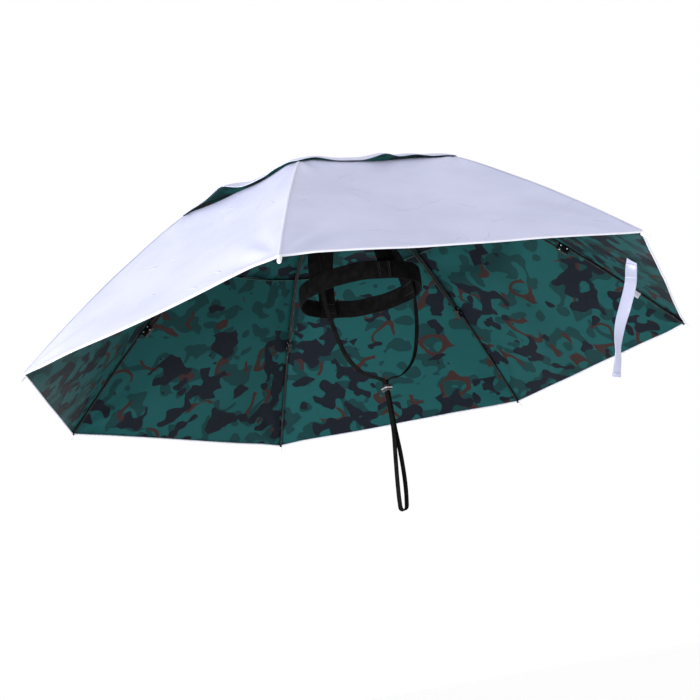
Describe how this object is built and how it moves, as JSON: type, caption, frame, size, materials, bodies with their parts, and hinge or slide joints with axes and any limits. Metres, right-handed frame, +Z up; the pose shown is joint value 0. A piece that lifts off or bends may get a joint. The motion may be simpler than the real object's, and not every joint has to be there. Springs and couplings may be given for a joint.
{
  "type": "umbrella hat",
  "caption": "Folding umbrella hat: ribbed sun canopy with a vented top cap, carried on an elastic head harness with a chin strap.",
  "frame": {"origin": "middle of the headband's lower edge, where the hat sits on a head", "axes": "+Z up along the canopy's axis, -Y towards the wearer's front, +X to the wearer's left"},
  "size_m": [0.9145, 0.9311, 0.4981],
  "materials": {
    "silver_cloth": "silver-coated polyester outside, printed camouflage inside",
    "black_steel": "black coated spring steel",
    "white_plastic": "moulded white",
    "black_plastic": "moulded black",
    "black_elastic": "woven black elastic",
    "black_webbing": "flat black webbing"
  },
  "bodies": {
    "root": {"canopy_panel_ab": "silver_cloth", "top_cap_gore_ab": "silver_cloth", "outer_rib_a": "black_steel", "inner_rib_a": "black_steel", "rib_link_a": "black_steel", "tip_cap_a": "white_plastic", "canopy_panel_bc": "silver_cloth", "top_cap_gore_bc": "silver_cloth", "outer_rib_b": "black_steel", "inner_rib_b": "black_steel", "rib_link_b": "black_steel", "tip_cap_b": "white_plastic", "canopy_panel_cd": "silver_cloth", "top_cap_gore_cd": "silver_cloth", "outer_rib_c": "black_steel", "inner_rib_c": "black_steel", "rib_link_c": "black_steel", "tip_cap_c": "white_plastic", "canopy_panel_de": "silver_cloth", "top_cap_gore_de": "silver_cloth", "outer_rib_d": "black_steel", "inner_rib_d": "black_steel", "rib_link_d": "black_steel", "tip_cap_d": "white_plastic", "canopy_panel_ef": "silver_cloth", "top_cap_gore_ef": "silver_cloth", "outer_rib_e": "black_steel", "inner_rib_e": "black_steel", "rib_link_e": "black_steel", "tip_cap_e": "white_plastic", "canopy_panel_fg": "silver_cloth", "top_cap_gore_fg": "silver_cloth", "outer_rib_f": "black_steel", "inner_rib_f": "black_steel", "rib_link_f": "black_steel", "tip_cap_f": "white_plastic", "canopy_panel_ga": "silver_cloth", "top_cap_gore_ga": "silver_cloth", "outer_rib_g": "black_steel", "inner_rib_g": "black_steel", "rib_link_g": "black_steel", "tip_cap_g": "white_plastic", "hub_notch": "black_plastic", "hub_runner": "black_plastic", "centre_post": "black_plastic", "finial": "black_plastic", "headband": "black_elastic", "head_strap_front": "black_elastic", "head_strap_left": "black_elastic", "head_strap_back": "black_elastic", "head_strap_right": "black_elastic", "chin_strap_right": "black_webbing", "chin_strap_left": "black_webbing", "chin_strap_loop": "black_webbing", "chin_slider": "black_plastic", "tie_strap": "silver_cloth", "tie_tab": "silver_cloth"}
  },
  "joints": []
}
